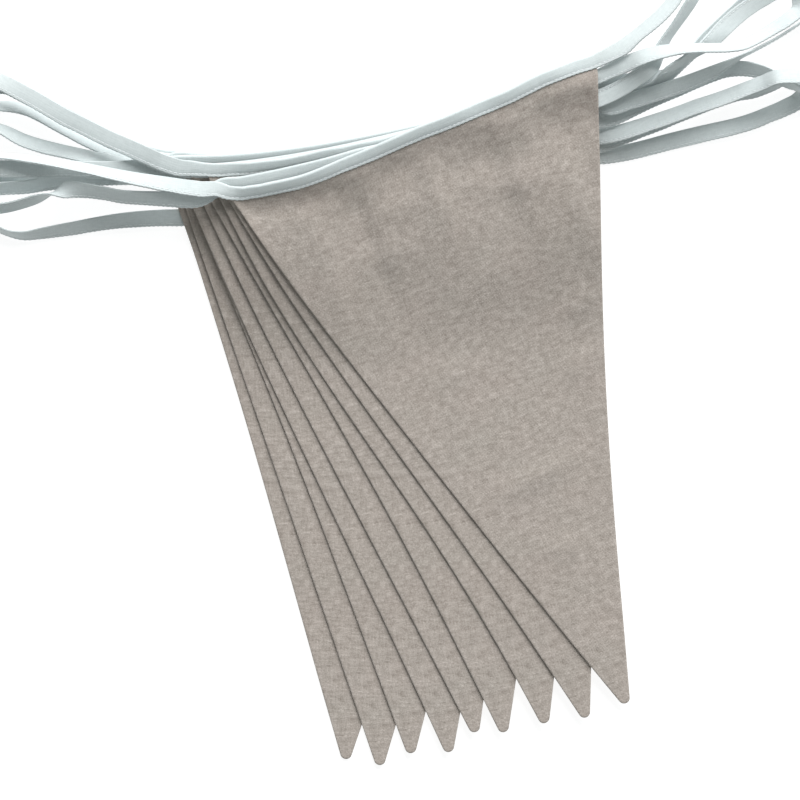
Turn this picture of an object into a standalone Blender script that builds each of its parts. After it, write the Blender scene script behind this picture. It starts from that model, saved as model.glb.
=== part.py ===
"""Fabric bunting: nine linen pennants bound into one folded cotton tape, laid down in a fanned pile.

Lengths and places are in millimetres, and become metres where an object is made. X runs along the
photographed width, Y up the photograph and Z towards the viewer. The pile lies on z = 0.
"""

import math
from collections import namedtuple
from functools import lru_cache

import bmesh
import bpy
import numpy as np
from mathutils import Vector
from mathutils.geometry import delaunay_2d_cdt
from mathutils.kdtree import KDTree

MM = 0.001

# Pennants: one shape, a triangle with a blunt tip
PENNANT_WIDTH = 200.0
PENNANT_LENGTH = 310.0
PENNANT_THICKNESS = 1.0
TIP_RADIUS = 3.0
TUCK = 6.0  # how far the top edge reaches up inside the tape
SIDE_STEPS = 7
TOP_STEPS = 12
TIP_STEPS = 4

# Tape: an 18 mm strip folded in half over the pennants' top edges
TAPE_WIDTH = 9.0
LEAF = 0.4
SLOT_PLAY = 0.4
BOUND_THICKNESS = PENNANT_THICKNESS + 2 * (LEAF + SLOT_PLAY)
LOOSE_THICKNESS = 1.1
FOLD = 0.8
LOOSE_SLOT = 0.3
LOOSE_SLOT_DEPTH = 1.2
TAPE_STEP = 9.0

# Stacking
LAYER_GAP = 0.45
PENNANT_PITCH = PENNANT_THICKNESS + LAYER_GAP
BOUND_PITCH = BOUND_THICKNESS + LAYER_GAP
LOOSE_PITCH = LOOSE_THICKNESS + LAYER_GAP
REST = 22.0  # a layer holds up those above it this far past its own edge
FALL = 90.0  # and they sink back over this length
RUN_OUT = 25.0
CELL = 20.0

# Spreading crossing runs of tape apart
SAMPLES_ALONG = 6
SAMPLES_ACROSS = 7
SLACK = 0.5  # what the samples can miss between them
HELD = 10.0  # the tape keeps its place this near to a pennant's corner or a tucked end
BEND = 0.8  # how far a station may stand above the middle of its neighbours
ROUNDS = 240

LINEN = (0.40, 0.34, 0.29, 1.0)
COTTON = (0.86, 0.90, 0.89, 1.0)

# Each pennant from the top of the pile down: where its tip is, how far it leans to the right in degrees,
# how its centre line bows and sways sideways, how far its sides draw in, and how its top edge sags and skews
Pennant = namedtuple("Pennant", "tip_x tip_y lean bow sway pinch sag skew")
PENNANTS = (
    Pennant(117.1, -157.0, 20.4, -3.3, 0.0, 1.2, 3.4, 5.5),
    Pennant(96.3, -164.4, 16.9, -1.0, -1.2, 0.3, 3.6, 4.5),
    Pennant(75.1, -167.3, 14.1, 0.6, -2.6, 0.0, 4.2, 4.5),
    Pennant(53.9, -172.0, 11.0, 2.9, -0.6, 0.5, 3.6, 4.0),
    Pennant(38.9, -172.0, 9.2, -2.0, -0.4, 0.0, 4.4, 4.0),
    Pennant(25.4, -182.3, 7.2, -1.3, -0.6, 0.0, 3.0, 3.0),
    Pennant(5.7, -182.9, 3.9, 1.8, 0.2, 0.6, 3.4, 3.0),
    Pennant(-10.4, -189.1, 1.3, 0.2, 0.0, 0.0, 2.4, 2.0),
    Pennant(-28.0, -186.0, -1.1, 0.9, 0.3, 0.9, 1.6, 1.0),
)

# The loose stretches of tape. Each row is a point of the tape's centre line, in the order that the tape
# runs, with its rise above its own layer and its roll about the line of travel: 0 or a multiple of 180
# lies flat, and 90 stands on edge
Row = namedtuple("Row", "x y rise roll")
LEFT_1_2 = (
    Row(-95.8, 108.5, 0, 178),
    Row(-112.9, 110.3, 0.5, 170),
    Row(-138.3, 114.5, 1, 138),
    Row(-155.4, 118.1, 1.5, 130),
    Row(-173.0, 121.7, 2, 124),
    Row(-190.1, 124.3, 2, 115),
    Row(-207.2, 126.1, 2, 108),
    Row(-221.2, 125.4, 2, 118),
    Row(-233.1, 121.2, 2, 145),
    Row(-238.3, 112.9, 2, 178),
    Row(-233.1, 104.1, 2, 212),
    Row(-220.7, 99.5, 2, 236),
    Row(-207.2, 99.2, 2, 245),
    Row(-194.2, 102.0, 2, 242),
    Row(-182.3, 106.2, 2, 244),
    Row(-174.0, 108.5, 2, 270),
    Row(-165.8, 108.5, 1.5, 305),
    Row(-156.4, 107.5, 1.5, 332),
    Row(-146.1, 105.4, 1, 338),
    Row(-134.2, 104.4, 0.5, 342),
    Row(-119.1, 103.9, 0.5, 350),
    Row(-103.6, 105.2, 0, 358),
)
RIGHT_2_3 = (
    Row(109.8, 169.4, 0.5, 4),
    Row(118.1, 173.5, 1, 10),
    Row(126.9, 177.9, 1.5, 24),
    Row(138.8, 180.5, 2, 44),
    Row(152.8, 181.8, 2.5, 56),
    Row(166.8, 182.1, 3, 56),
    Row(178.7, 184.1, 3, 50),
    Row(187.5, 188.8, 3.5, 47),
    Row(196.8, 194.5, 3.5, 42),
    Row(205.6, 201.0, 3.5, 36),
    Row(209.8, 207.2, 4, 32),
    Row(207.2, 212.4, 4, 28),
    Row(199.4, 212.9, 4, 24),
    Row(187.5, 207.7, 3.5, 20),
    Row(177.2, 201.0, 3, 16),
    Row(168.3, 193.2, 2.5, 14),
    Row(161.1, 186.0, 2, 16),
    Row(153.8, 179.2, 1.5, 40),
    Row(146.6, 174.0, 1.5, 90),
    Row(138.8, 170.4, 1, 135),
    Row(128.5, 167.3, 0.5, 165),
    Row(115.0, 166.0, 0, 178),
)
LEFT_3_4 = (
    Row(-112.4, 119.1, 0.5, 178),
    Row(-124.3, 123.3, 0.5, 176),
    Row(-137.3, 129.2, 1, 174),
    Row(-151.3, 135.2, 1.5, 172),
    Row(-163.2, 141.2, 1.5, 171),
    Row(-175.1, 147.1, 2, 170),
    Row(-187.5, 154.4, 2, 168),
    Row(-198.9, 160.6, 2, 162),
    Row(-210.3, 166.3, 2, 150),
    Row(-221.2, 170.4, 2.5, 128),
    Row(-230.0, 170.9, 2.5, 96),
    Row(-233.6, 165.8, 2, 66),
    Row(-229.0, 161.1, 2, 36),
    Row(-217.6, 161.6, 1.5, 20),
    Row(-205.1, 161.6, 1, 12),
    Row(-192.7, 155.9, 1, 8),
    Row(-178.7, 148.1, 1, 8),
    Row(-164.7, 140.9, 1, 8),
    Row(-151.3, 133.9, 0.5, 6),
    Row(-137.3, 127.9, 0.5, 4),
    Row(-124.3, 122.5, 0, 2),
)
RIGHT_4_5 = (
    Row(98.4, 155.4, 0, -2),
    Row(105.2, 152.3, 0, -8),
    Row(116.5, 153.8, 0, -12),
    Row(129.5, 157.7, 0.5, -14),
    Row(142.5, 161.9, 0.5, -20),
    Row(153.8, 166.0, 0.5, -30),
    Row(163.2, 170.4, 1, -46),
    Row(173.5, 176.1, 1.5, -76),
    Row(184.4, 181.6, 2, -84),
    Row(195.8, 187.8, 2, -86),
    Row(207.2, 195.3, 2, -88),
    Row(217.0, 204.1, 2, -90),
    Row(219.6, 212.4, 2, -94),
    Row(213.4, 219.6, 2, -102),
    Row(201.0, 220.2, 2, -116),
    Row(188.6, 213.4, 2, -134),
    Row(178.2, 205.1, 1.5, -146),
    Row(168.3, 195.8, 1.5, -152),
    Row(158.5, 186.5, 1, -156),
    Row(150.2, 178.7, 1, -158),
    Row(140.9, 171.5, 0.5, -162),
    Row(129.5, 164.7, 0, -168),
    Row(118.1, 159.5, 0, -174),
    Row(106.7, 156.4, 0, -178),
)
LEFT_5_6 = (
    Row(-121.7, 121.7, 0, 182),
    Row(-138.3, 119.7, 0, 192),
    Row(-155.4, 118.9, 0.5, 198),
    Row(-173.0, 119.4, 1, 202),
    Row(-190.1, 119.1, 1, 206),
    Row(-207.2, 119.7, 1.5, 212),
    Row(-219.6, 120.2, 1.5, 236),
    Row(-229.0, 117.6, 1.5, 264),
    Row(-231.0, 112.4, 1.5, 286),
    Row(-224.3, 108.3, 1.5, 306),
    Row(-214.5, 108.8, 1, 314),
    Row(-204.1, 109.6, 1, 318),
    Row(-193.7, 110.3, 1, 322),
    Row(-183.4, 111.9, 1, 326),
    Row(-172.0, 113.7, 0.5, 334),
    Row(-158.0, 115.0, 0.5, 342),
    Row(-142.5, 115.5, 0, 350),
    Row(-126.9, 116.3, 0, 356),
)
RIGHT_6_7 = (
    Row(95.3, 143.7, 0, -4),
    Row(105.7, 144.0, 0, -8),
    Row(118.1, 149.7, 0, -12),
    Row(130.5, 155.9, 0, -14),
    Row(144.0, 161.4, 0, -18),
    Row(157.5, 167.1, 0.5, -22),
    Row(169.9, 171.2, 0.5, -26),
    Row(180.3, 171.2, 1, -30),
    Row(189.6, 168.9, 1, -40),
    Row(198.9, 164.7, 1, -58),
    Row(209.3, 159.5, 1.5, -80),
    Row(219.6, 157.5, 1.5, -104),
    Row(227.4, 161.1, 2, -134),
    Row(226.9, 166.8, 2.5, -164),
    Row(218.6, 168.6, 2.5, -190),
    Row(207.2, 167.3, 2.5, -206),
    Row(198.9, 167.8, 2.5, -210),
    Row(189.6, 164.7, 2.5, -211),
    Row(178.7, 160.6, 2.5, -211),
    Row(165.8, 155.7, 2, -210),
    Row(154.4, 152.0, 2, -209),
    Row(142.5, 147.6, 2, -208),
    Row(129.5, 143.2, 1.5, -204),
    Row(117.1, 139.3, 1, -198),
    Row(105.2, 136.5, 0, -188),
    Row(94.8, 137.0, 0, -182),
)
LEFT_7_8 = (
    Row(-121.7, 121.2, 0, 178),
    Row(-130.0, 118.4, 0, 168),
    Row(-142.5, 121.5, 0.5, 150),
    Row(-155.4, 124.6, 0.5, 140),
    Row(-169.9, 127.7, 1, 140),
    Row(-185.4, 131.3, 1, 142),
    Row(-197.9, 135.7, 1, 138),
    Row(-206.7, 140.9, 1.5, 124),
    Row(-213.9, 145.6, 1.5, 96),
    Row(-213.4, 150.5, 1.5, 64),
    Row(-207.2, 152.0, 1.5, 38),
    Row(-198.4, 151.5, 1, 26),
    Row(-189.6, 148.7, 1, 20),
    Row(-178.7, 143.0, 0.5, 14),
    Row(-166.8, 136.8, 0.5, 10),
    Row(-153.3, 130.8, 0, 6),
    Row(-139.9, 126.9, 0, 4),
    Row(-126.9, 124.3, 0, 2),
)
RIGHT_8_9 = (
    Row(94.8, 129.8, 0, -4),
    Row(106.7, 132.1, 0, -12),
    Row(124.3, 138.6, 0, -22),
    Row(140.9, 144.8, 0.5, -30),
    Row(157.5, 151.0, 1, -36),
    Row(172.5, 156.2, 1, -42),
    Row(186.5, 159.8, 1, -56),
    Row(198.4, 163.9, 1.5, -76),
    Row(207.2, 164.5, 1.5, -104),
    Row(209.8, 159.5, 1.5, -132),
    Row(203.6, 153.6, 1, -150),
    Row(191.7, 148.1, 1, -158),
    Row(178.2, 143.0, 1, -160),
    Row(165.8, 139.9, 1, -161),
    Row(152.3, 136.8, 0.5, -163),
    Row(138.3, 133.4, 0.5, -166),
    Row(122.2, 129.2, 0.5, -170),
    Row(105.7, 126.4, 0, -174),
    Row(93.2, 126.4, 0, -178),
)
LEFT_TIE = (
    Row(-132.1, 129.5, 0, 181),
    Row(-145.0, 124.8, 0, 184),
    Row(-159.5, 120.2, 0, 188),
    Row(-176.1, 116.5, 0, 192),
    Row(-192.7, 114.5, 0.5, 198),
    Row(-207.2, 113.4, 0.5, 208),
    Row(-220.7, 111.4, 1, 228),
    Row(-231.0, 105.7, 1, 256),
    Row(-232.1, 97.4, 1.5, 276),
    Row(-223.8, 92.2, 1.5, 286),
    Row(-213.4, 90.7, 1.5, 288),
    Row(-205.1, 87.3, 1.5, 282),
    Row(-199.9, 85.2, 1.5, 280),
    Row(-193.2, 85.2, 1.5, 290),
    Row(-182.3, 86.8, 1, 306),
    Row(-170.9, 88.6, 1, 320),
    Row(-159.0, 90.7, 0.5, 330),
    Row(-146.1, 92.7, 0.5, 338),
    Row(-130.0, 94.0, 0, 352),
    Row(-111.9, 94.5, 0, 360),
    Row(-99.5, 94.8, 0, 360),
    Row(-88.1, 95.1, 0, 360),
)
RIGHT_TIE = (
    Row(98.4, 153.8, 0, 180),
    Row(109.8, 158.0, 0, 178),
    Row(121.2, 164.7, 0, 172),
    Row(130.5, 173.0, 0.5, 150),
    Row(135.2, 182.9, 1, 112),
    Row(140.4, 190.6, 2, 118),
    Row(145.0, 197.4, 2, 124),
    Row(151.3, 207.2, 3, 130),
    Row(154.4, 215.0, 3.5, 134),
    Row(153.8, 221.2, 4, 138),
    Row(149.2, 221.7, 4, 142),
    Row(145.0, 213.4, 4, 142),
    Row(139.9, 204.1, 4, 142),
    Row(131.6, 195.8, 3.5, 141),
    Row(122.2, 188.0, 2.5, 141),
    Row(112.9, 180.3, 1.5, 164),
)

# The loops in the order that the tape runs, each with the roll at which it reaches the next pennant and
# whether it crosses over itself on its way back
Loop = namedtuple("Loop", "rows end_roll crosses_over")
LOOPS = (
    Loop(LEFT_1_2, 360, False),
    Loop(RIGHT_2_3, 180, False),
    Loop(LEFT_3_4, 0, False),
    Loop(RIGHT_4_5, -180, False),
    Loop(LEFT_5_6, 360, False),
    Loop(RIGHT_6_7, -180, True),
    Loop(LEFT_7_8, 0, False),
    Loop(RIGHT_8_9, -180, False),
)


def pennant_frame(pennant):
    """The tip, the direction down the pennant and the direction to its right."""
    lean = math.radians(pennant.lean)
    return (
        Vector((pennant.tip_x, pennant.tip_y)),
        Vector((math.sin(lean), -math.cos(lean))),
        Vector((math.cos(lean), math.sin(lean))),
    )


def on_pennant(pennant, across, along):
    """Where a point of the cloth lies: `across` from its centre line, `along` from the tape to the tip."""
    tip, down, right = pennant_frame(pennant)
    share = min(max(along / PENNANT_LENGTH, 0.0), 1.0)
    side = min(max(2 * across / PENNANT_WIDTH, -1.0), 1.0)
    shift = pennant.bow * math.sin(math.pi * share) + pennant.sway * math.sin(2 * math.pi * share)
    inward = pennant.pinch * side * math.sin(math.pi * share) ** 2 / max(1 - share, 0.2)
    drop = (pennant.sag - pennant.skew * side) * (1 - side**2) * (1 - share) ** 2
    return tip + right * (across + shift - inward) + down * (along + drop - PENNANT_LENGTH)


def pennant_outline(pennant):
    """The cut edge, anticlockwise from the left corner: down the left side, round the tip and back."""
    half = PENNANT_WIDTH / 2
    tip_along = PENNANT_LENGTH - TIP_RADIUS
    slant = math.atan2(half - TIP_RADIUS, tip_along)
    edge_across = TIP_RADIUS * math.cos(slant)
    edge_along = tip_along + TIP_RADIUS * math.sin(slant)
    points = [on_pennant(pennant, -half, -TUCK)]
    for step in range(SIDE_STEPS):
        share = step / SIDE_STEPS
        points.append(on_pennant(pennant, -half + (half - edge_across) * share, edge_along * share))
    for step in range(TIP_STEPS + 1):
        turn = math.pi - slant + (2 * slant - math.pi) * step / TIP_STEPS
        across = TIP_RADIUS * math.cos(turn)
        points.append(on_pennant(pennant, across, tip_along + TIP_RADIUS * math.sin(turn)))
    for step in range(SIDE_STEPS, 0, -1):
        share = (step - 1) / SIDE_STEPS
        points.append(on_pennant(pennant, half - (half - edge_across) * share, edge_along * share))
    for step in range(TOP_STEPS, 0, -1):
        points.append(on_pennant(pennant, -half + PENNANT_WIDTH * step / TOP_STEPS, -TUCK))
    return points


def fall_off(distance):
    """1 until REST past a layer's edge, then easing to 0 over FALL."""
    t = min(max((distance - REST) / FALL, 0.0), 1.0)
    return 1 - t * t * (3 - 2 * t)


def pennant_support(pennant, point):
    """How much height a pennant and its bound edge take up at a point."""
    tip, down, right = pennant_frame(pennant)
    along = PENNANT_LENGTH + (point - tip).dot(down)
    across = abs((point - tip).dot(right))
    half = PENNANT_WIDTH / 2
    slant = math.atan2(half, PENNANT_LENGTH)
    past_side = (across - half * (1 - along / PENNANT_LENGTH)) * math.cos(slant)
    from_cloth = max(-along - TAPE_WIDTH, past_side)
    from_tape = max(abs(along + TAPE_WIDTH / 2) - TAPE_WIDTH / 2, across - half - RUN_OUT)
    return PENNANT_PITCH * fall_off(from_cloth) + (BOUND_PITCH - PENNANT_PITCH) * fall_off(from_tape)


def tail_support(tail, point):
    """How much height the tucked-under end of a tie takes up at a point."""
    start = Vector((tail[0].x, tail[0].y))
    run = Vector((tail[1].x, tail[1].y)) - start
    share = min(max((point - start).dot(run) / run.length_squared, 0.0), 1.0)
    return LOOSE_PITCH * fall_off((point - start - run * share).length - TAPE_WIDTH / 2)


# The layers of the pile from the bottom up. The end of each tie is tucked under a pennant
LAYERS = ("left tail", 8, 7, 6, 5, 4, 3, 2, "right tail", 1, 0)
SUPPORTS = {"left tail": LEFT_TIE[-1:-5:-3], "right tail": RIGHT_TIE[0:2]}


def support(layer, point):
    if layer in SUPPORTS:
        return tail_support(SUPPORTS[layer], point)
    return pennant_support(PENNANTS[layer], point)


@lru_cache(maxsize=None)
def node_height(layer, column, row):
    """The middle height of a layer at a node of the lattice of equal triangles, CELL on a side."""
    point = Vector(((column + row / 2) * CELL, row * CELL * math.sqrt(0.75)))
    below = LAYERS[: LAYERS.index(layer)]
    return sum(support(other, point) for other in below) + (support(layer, point) - LAYER_GAP) / 2


def layer_height(layer, point):
    """The middle height of a layer at any point: flat across each triangle of the lattice, so that no
    two layers cut into each other between its nodes."""
    row = point.y / (CELL * math.sqrt(0.75))
    column = point.x / CELL - row / 2
    i, j = math.floor(column), math.floor(row)
    u, v = column - i, row - j
    if u + v <= 1:
        corners = ((i, j, 1 - u - v), (i + 1, j, u), (i, j + 1, v))
    else:
        corners = ((i + 1, j + 1, u + v - 1), (i + 1, j, 1 - v), (i, j + 1, 1 - u))
    return sum(share * node_height(layer, a, b) for a, b, share in corners)


def lattice_under(outline):
    """The nodes and edges of the lattice in the rectangle that holds an outline."""
    rise = CELL * math.sqrt(0.75)
    rows = range(
        math.floor(min(p.y for p in outline) / rise) - 1, math.ceil(max(p.y for p in outline) / rise) + 2
    )
    low, high = min(p.x for p in outline), max(p.x for p in outline)
    nodes = {}
    for row in rows:
        for column in range(math.floor(low / CELL - row / 2) - 1, math.ceil(high / CELL - row / 2) + 2):
            nodes[column, row] = Vector(((column + row / 2) * CELL, row * rise))
    index = {node: number for number, node in enumerate(nodes)}
    edges = [
        (index[column, row], index[column + across, row + up])
        for column, row in nodes
        for across, up in ((1, 0), (0, 1), (-1, 1))
        if (column + across, row + up) in index
    ]
    return list(nodes.values()), edges


def add_object(name, points, faces, material, parent):
    mesh = bpy.data.meshes.new(name)
    mesh.from_pydata([Vector(point) * MM for point in points], [], faces)
    shape = bmesh.new()
    shape.from_mesh(mesh)
    bmesh.ops.recalc_face_normals(shape, faces=shape.faces[:])
    shape.to_mesh(mesh)
    shape.free()
    mesh.materials.append(material)
    made = bpy.data.objects.new(name, mesh)
    made.parent = parent
    COLLECTION.objects.link(made)
    return made


def add_pennant(number, parent, material):
    """A sheet draped over the layers below it and cut along the pennant's outline."""
    outline = pennant_outline(PENNANTS[number])
    nodes, edges = lattice_under(outline)
    rim = list(range(len(nodes), len(nodes) + len(outline)))
    points, _, triangles, _, _, sources = delaunay_2d_cdt(nodes + outline, edges, [rim], 1, 1e-4)
    inside = [triangle for triangle, source in zip(triangles, sources) if source]
    used = sorted({corner for triangle in inside for corner in triangle})
    place = {corner: order for order, corner in enumerate(used)}
    draped = [(*points[corner], layer_height(number, points[corner])) for corner in used]
    faces = [[place[corner] for corner in triangle] for triangle in inside]
    sheet = add_object(f"pennant_{number + 1}", draped, faces, material, parent)
    thickness = sheet.modifiers.new("Thickness", "SOLIDIFY")
    thickness.thickness = PENNANT_THICKNESS * MM
    thickness.offset = 0.0


# One cross-section of the tape: its layer, place, roll, how far its slot is open, how closely it follows
# the slope of its layer, its place in the order of the pile, and whether its height is settled
Station = namedtuple("Station", "layer x y z roll opening follow order held")


def bound_stations(number):
    """The tape along a pennant's top edge. It runs left along the first pennant, right along the next."""
    stations = []
    steps = round(PENNANT_WIDTH / TAPE_STEP)
    heading = 1 if number % 2 else -1
    for step in range(steps + 1):
        across = heading * PENNANT_WIDTH * (step / steps - 0.5)
        point = on_pennant(PENNANTS[number], across, -TAPE_WIDTH / 2)
        roll = 0 if number % 2 else 180
        z = layer_height(number, point)
        order = LAYERS.index(number)
        stations.append(Station(number, point.x, point.y, z, roll, 1.0, 1.0, order, True))
    return stations


def ease(share):
    share = min(max(share, 0.0), 1.0)
    return share * share * (3 - 2 * share)


def spline(knots, times, time):
    """A curve through the knots (Catmull-Rom with uneven spacing), at one time."""
    last = len(knots) - 1
    k = min(max(next((n for n in range(last) if times[n + 1] >= time), last - 1), 0), last - 1)

    def slope(n):
        low, high = max(n - 1, 0), min(n + 1, last)
        return (knots[high] - knots[low]) / (times[high] - times[low])

    gap = times[k + 1] - times[k]
    s = (time - times[k]) / gap
    return (
        knots[k] * (2 * s**3 - 3 * s**2 + 1)
        + slope(k) * gap * (s**3 - 2 * s**2 + s)
        + knots[k + 1] * (3 * s**2 - 2 * s**3)
        + slope(k + 1) * gap * (s**3 - s**2)
    )


def loose_stations(rows, start, end, end_roll, tail=None, crosses_over=False):
    """The tape between two bound stations, or from or to a cut end, which lies in the tail's layer."""
    knots = [Vector(row) for row in rows]
    if start:
        knots.insert(0, Vector((start.x, start.y, 0.0, start.roll)))
    if end:
        knots.append(Vector((end.x, end.y, 0.0, end_roll)))
    times = [0.0]
    for before, after in zip(knots, knots[1:]):
        times.append(times[-1] + (after.xy - before.xy).length)
    length = times[-1]
    steps = round(length / TAPE_STEP)
    layers = start.layer if start else tail, end.layer if end else tail
    stations = []
    for step in range(steps + 1):
        if (start and step == 0) or (end and step == steps):
            continue
        time = length * step / steps
        x, y, rise, roll = spline(knots, times, time)
        point = Vector((x, y))
        turn = ease(3 * time / length - 1)
        heights = [layer_height(layer, point) for layer in layers]
        z = rise + heights[0] * (1 - turn) + heights[1] * turn
        past_start = time if start else length
        past_end = length - time if end else length
        near = min(past_start, past_end)
        follow = 1 - ease(near / RUN_OUT)
        opening = 1 - ease(near / (2 * TAPE_STEP))
        half = round(time / length)
        order = LAYERS.index(layers[half])
        if crosses_over and 0.5 < time / length < 0.7:
            order = LAYERS.index(layers[0]) + 0.5
        held = min(time, length - time) < HELD
        stations.append(Station(layers[half], x, y, z, roll, opening, follow, order, held))
    return stations


def tape_stations():
    """The whole tape, from the end of the right tie to the end of the left one."""
    bound = [bound_stations(number) for number in range(len(PENNANTS))]
    stations = loose_stations(RIGHT_TIE, None, bound[0][0], 180, "right tail")
    for number, loop in enumerate(LOOPS):
        stations += bound[number]
        start, end = bound[number][-1], bound[number + 1][0]
        stations += loose_stations(loop.rows, start, end, loop.end_roll, None, loop.crosses_over)
    stations += bound[-1]
    return spread_apart(stations + loose_stations(LEFT_TIE, bound[-1][-1], None, 0, "left tail"))


def section(opening, thickness):
    """The folded strip's outline as (towards the open edge, towards the front) pairs."""
    half = thickness / 2
    slot = (LOOSE_SLOT + (PENNANT_THICKNESS + 2 * SLOT_PLAY - LOOSE_SLOT) * opening) / 2
    depth = LOOSE_SLOT_DEPTH + (TAPE_WIDTH - FOLD - LOOSE_SLOT_DEPTH) * opening
    edge = TAPE_WIDTH / 2
    return (
        (-edge, half),
        (edge, half),
        (edge, slot),
        (edge - depth, slot),
        (edge - depth, -slot),
        (edge, -slot),
        (edge, -half),
        (-edge, -half),
    )


def thickness_at(station):
    return LOOSE_THICKNESS + (BOUND_THICKNESS - LOOSE_THICKNESS) * station.opening


def ring(stations, number, offsets):
    """Points of the tape at one station, from their offsets towards its open edge and its front."""
    here = stations[number]
    before, after = stations[max(number - 1, 0)], stations[min(number + 1, len(stations) - 1)]
    travel = Vector((after.x - before.x, after.y - before.y, after.z - before.z)).normalized()
    left = Vector((0, 0, 1)).cross(travel).normalized()
    up = travel.cross(left)
    roll = math.radians(here.roll)
    open_way = up * math.sin(roll) - left * math.cos(roll)
    front = up * math.cos(roll) + left * math.sin(roll)
    centre = Vector((here.x, here.y, here.z))
    level = layer_height(here.layer, centre.xy)
    corners = []
    for across, out in offsets:
        corner = centre + open_way * across + front * out
        corner.z += here.follow * (layer_height(here.layer, corner.xy) - level)
        corners.append(corner)
    return corners


def tape_samples(stations):
    """Points over the tape's middle surface, each with its station and its share of the way to the next."""
    offsets = [
        (TAPE_WIDTH * (across / (SAMPLES_ACROSS - 1) - 0.5), 0.0) for across in range(SAMPLES_ACROSS)
    ]
    rows = [ring(stations, number, offsets) for number in range(len(stations))]
    owners, shares, points = [], [], []
    for number in range(len(stations) - 1):
        for along in range(SAMPLES_ALONG):
            share = along / SAMPLES_ALONG
            for near, far in zip(rows[number], rows[number + 1]):
                owners.append(number)
                shares.append(share)
                points.append(near.lerp(far, share))
    return np.array(owners), np.array(shares), points


def crossing_samples(stations, owners, points):
    """Pairs of samples, the upper one first, that lie too near in plan, and the height that parts them."""
    plan = KDTree(len(points))
    for number, point in enumerate(points):
        plan.insert((point.x, point.y, 0.0), number)
    plan.balance()
    pairs, parts = [], []
    for number, point in enumerate(points):
        here = stations[owners[number]]
        if here.held:
            continue
        for _, other, distance in plan.find_range((point.x, point.y, 0.0), BOUND_PITCH + SLACK):
            there = stations[owners[other]]
            above = (here.order, -owners[number]) > (there.order, -owners[other])
            part = (thickness_at(here) + thickness_at(there)) / 2 + LAYER_GAP + SLACK
            if above and abs(owners[number] - owners[other]) > 3 and distance < part:
                pairs.append((number, other))
                parts.append(math.sqrt(part**2 - distance**2))
    return np.array(pairs), np.array(parts)


def spread_apart(stations):
    """Lifts the upper of two runs of tape wherever they would touch, in a smooth rise."""
    owners, shares, points = tape_samples(stations)
    pairs, parts = crossing_samples(stations, owners, points)
    upper, lower = pairs[:, 0], pairs[:, 1]
    heights = np.array([point.z for point in points])
    held = np.array([station.held for station in stations])
    lift = np.zeros(len(stations))
    for _ in range(ROUNDS):
        now = heights + lift[owners] * (1 - shares) + lift[owners + 1] * shares
        short = np.maximum(parts - (now[upper] - now[lower]), 0.0)
        push = np.zeros(len(stations))
        np.maximum.at(push, owners, LOOSE_THICKNESS / 2 - now)
        np.maximum.at(push, owners[upper], short)
        np.maximum.at(push, owners[upper] + 1, short * (shares[upper] > 0.5))
        lift = np.where(held, 0.0, lift + push / 2)
        between = (lift[:-2] + lift[2:]) / 2 - BEND
        lift[1:-1] = np.where(held[1:-1], 0.0, np.maximum(lift[1:-1], between))
    return [station._replace(z=station.z + rise) for station, rise in zip(stations, lift)]


def add_tape(parent, material):
    stations = tape_stations()
    rings = [
        ring(stations, number, section(station.opening, thickness_at(station)))
        for number, station in enumerate(stations)
    ]
    sides = len(rings[0])
    faces = [list(range(sides))[::-1], [len(rings) * sides - sides + side for side in range(sides)]]
    for low in range(0, (len(rings) - 1) * sides, sides):
        for side in range(sides):
            beside = (side + 1) % sides
            faces.append([low + side, low + beside, low + sides + beside, low + sides + side])
    add_object("tape", [corner for corners in rings for corner in corners], faces, material, parent)


def plain_material(name, colour):
    material = bpy.data.materials.new(name)
    material.use_nodes = True
    surface = material.node_tree.nodes["Principled BSDF"]
    surface.inputs["Base Color"].default_value = colour
    surface.inputs["Roughness"].default_value = 0.9
    surface.inputs["Metallic"].default_value = 0.0
    return material


def centre_on_origin(parent):
    """Moves the parent so that the middle of the object's footprint is the origin."""
    bpy.context.view_layer.update()
    corners = [
        child.matrix_world @ vertex.co for child in parent.children for vertex in child.data.vertices
    ]
    for axis in range(2):
        ends = [corner[axis] for corner in corners]
        parent.location[axis] = -(min(ends) + max(ends)) / 2


for leftover in list(bpy.data.objects):
    bpy.data.objects.remove(leftover, do_unlink=True)

COLLECTION = bpy.data.collections.new("fabric bunting")
bpy.context.scene.collection.children.link(COLLECTION)
bunting = bpy.data.objects.new("bunting", None)
COLLECTION.objects.link(bunting)
linen = plain_material("natural linen", LINEN)
cotton = plain_material("white cotton", COTTON)
for number in range(len(PENNANTS)):
    add_pennant(number, bunting, linen)
add_tape(bunting, cotton)
centre_on_origin(bunting)
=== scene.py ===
"""Fabric bunting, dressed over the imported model: linen pennants bound into one folded cotton tape.

The pile's shape is worked out as in the part's own source, in millimetres with the middle of the
photograph as origin: X along its width, Y up it and Z towards the viewer. Objects are made in metres.
"""

import math
from collections import namedtuple

import bpy
import numpy as np
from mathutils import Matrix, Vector
from mathutils.kdtree import KDTree


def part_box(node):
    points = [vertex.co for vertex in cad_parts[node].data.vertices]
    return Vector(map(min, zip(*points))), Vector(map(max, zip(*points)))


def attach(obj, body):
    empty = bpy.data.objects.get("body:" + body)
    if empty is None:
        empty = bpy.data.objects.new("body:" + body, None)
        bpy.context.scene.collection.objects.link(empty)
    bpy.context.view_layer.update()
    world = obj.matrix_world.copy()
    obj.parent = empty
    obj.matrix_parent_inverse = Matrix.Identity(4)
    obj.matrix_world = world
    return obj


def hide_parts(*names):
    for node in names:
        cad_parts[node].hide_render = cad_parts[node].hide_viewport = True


MM = 0.001

# The photograph
PHOTO_WIDTH = 414.5
CAMERA_HEIGHT = 10000.0

# Pennants
PENNANT_WIDTH = 200.0
PENNANT_LENGTH = 310.0
PENNANT_THICKNESS = 1.0
TIP_RADIUS = 3.0
TUCK = 6.0

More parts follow.
